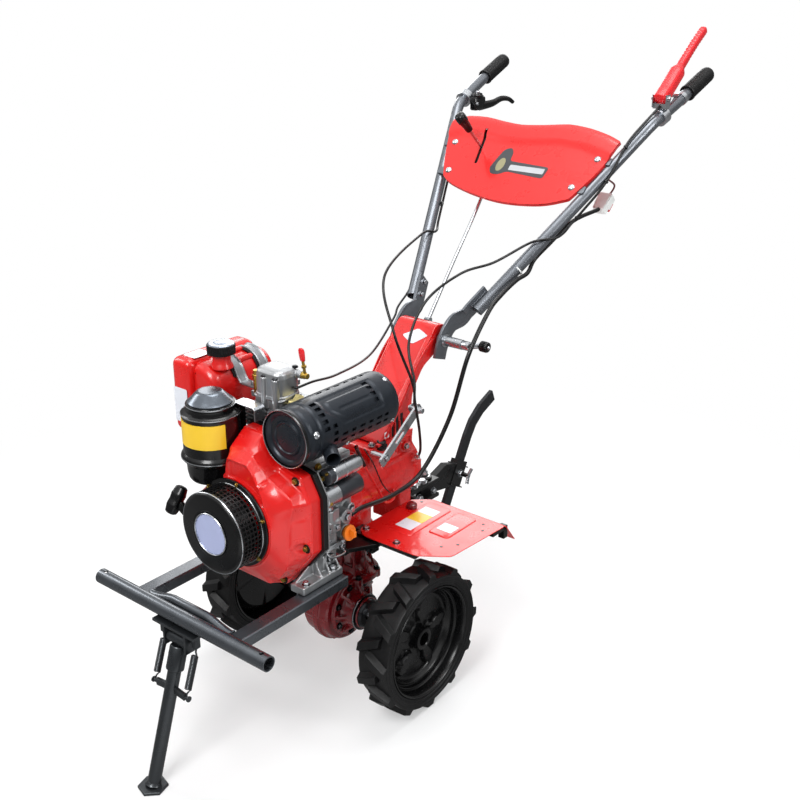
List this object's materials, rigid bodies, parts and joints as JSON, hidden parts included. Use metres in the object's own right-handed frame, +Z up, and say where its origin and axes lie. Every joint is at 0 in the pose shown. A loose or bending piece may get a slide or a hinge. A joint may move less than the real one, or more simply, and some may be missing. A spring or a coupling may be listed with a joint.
{
  "type": "walk-behind power tiller",
  "caption": "Walk-behind diesel tiller on lugged transport wheels, with a front stand, folding handlebar and rear drag bar.",
  "frame": {"origin": "middle of the footprint of the whole machine, on the floor", "axes": "+Z up, front towards -Y, the machine's left towards +X"},
  "size_m": [0.6357, 1.6393, 1.3692],
  "materials": {
    "red_paint": "gloss red paint on steel sheet",
    "red_casting": "gloss red paint on cast aluminium",
    "dark_red_casting": "dark red paint on cast aluminium",
    "grey_paint": "grey metallic paint on steel",
    "black_paint": "satin black paint on steel",
    "cast_aluminium": "bare cast aluminium",
    "zinc_steel": "zinc plated steel",
    "red_plastic": "moulded red plastic",
    "black_rubber": "matt black rubber",
    "tyre_rubber": "black tyre rubber"
  },
  "bodies": {
    "frame": {"travel_gearcase": "dark_red_casting", "rail_left": "grey_paint", "rail_right": "grey_paint", "bumper_tube": "grey_paint", "bumper_brace": "grey_paint", "stand_bracket": "grey_paint", "stand_spring_left": "grey_paint", "stand_spring_right": "grey_paint", "blower_housing": "red_casting", "crankcase": "cast_aluminium", "recoil_starter": "black_paint", "cylinder": "cast_aluminium", "head_cover": "cast_aluminium", "fuel_tank": "red_paint", "tank_straps": "grey_paint", "air_cleaner": "black_paint", "muffler": "black_paint", "starter_motor": "cast_aluminium", "gearbox": "red_casting", "column": "red_casting", "gear_lever": "zinc_steel", "hitch": "black_paint", "fender_left": "red_paint", "fender_right": "red_paint", "clutch_cable": "black_rubber", "reverse_cable": "black_rubber", "throttle_cable": "black_rubber", "wiring_loom": "black_rubber"},
    "wheels": {"axle": "zinc_steel", "rim_left": "black_paint", "rim_right": "black_paint", "tyre_left": "tyre_rubber", "tyre_right": "tyre_rubber"},
    "stand": {"stand_leg": "grey_paint"},
    "handlebar": {"handle_tube_left": "grey_paint", "handle_tube_right": "grey_paint", "grip_left": "black_rubber", "grip_right": "black_rubber", "tilt_bolt": "zinc_steel", "shield": "red_paint", "shift_rod": "zinc_steel", "clutch_bracket": "zinc_steel", "clutch_lever": "red_plastic", "throttle_lever": "black_paint"},
    "drag_bar_body": {"drag_bar": "grey_paint"}
  },
  "joints": [
    {"name": "axle_spin", "type": "hinge", "parent": "frame", "child": "wheels", "pos_m": [0, -0.2418, 0.165], "axis": [1, 0, 0], "continuous": true},
    {"name": "stand_fold", "type": "hinge", "parent": "frame", "child": "stand", "pos_m": [0, -0.6918, 0.295], "axis": [1, 0, 0], "range_deg": [0, 100], "deforming": ["stand_spring_left", "stand_spring_right"]},
    {"name": "handlebar_tilt", "type": "hinge", "parent": "frame", "child": "handlebar", "pos_m": [0, 0.0632, 0.722], "axis": [1, 0, 0], "range_deg": [-15, 20], "deforming": ["clutch_cable", "reverse_cable", "throttle_cable", "wiring_loom"]},
    {"name": "drag_bar_slide", "type": "slide", "parent": "frame", "child": "drag_bar_body", "axis": [0, 0.4726, 0.8813], "range_m": [-0.03, 0.1]}
  ]
}
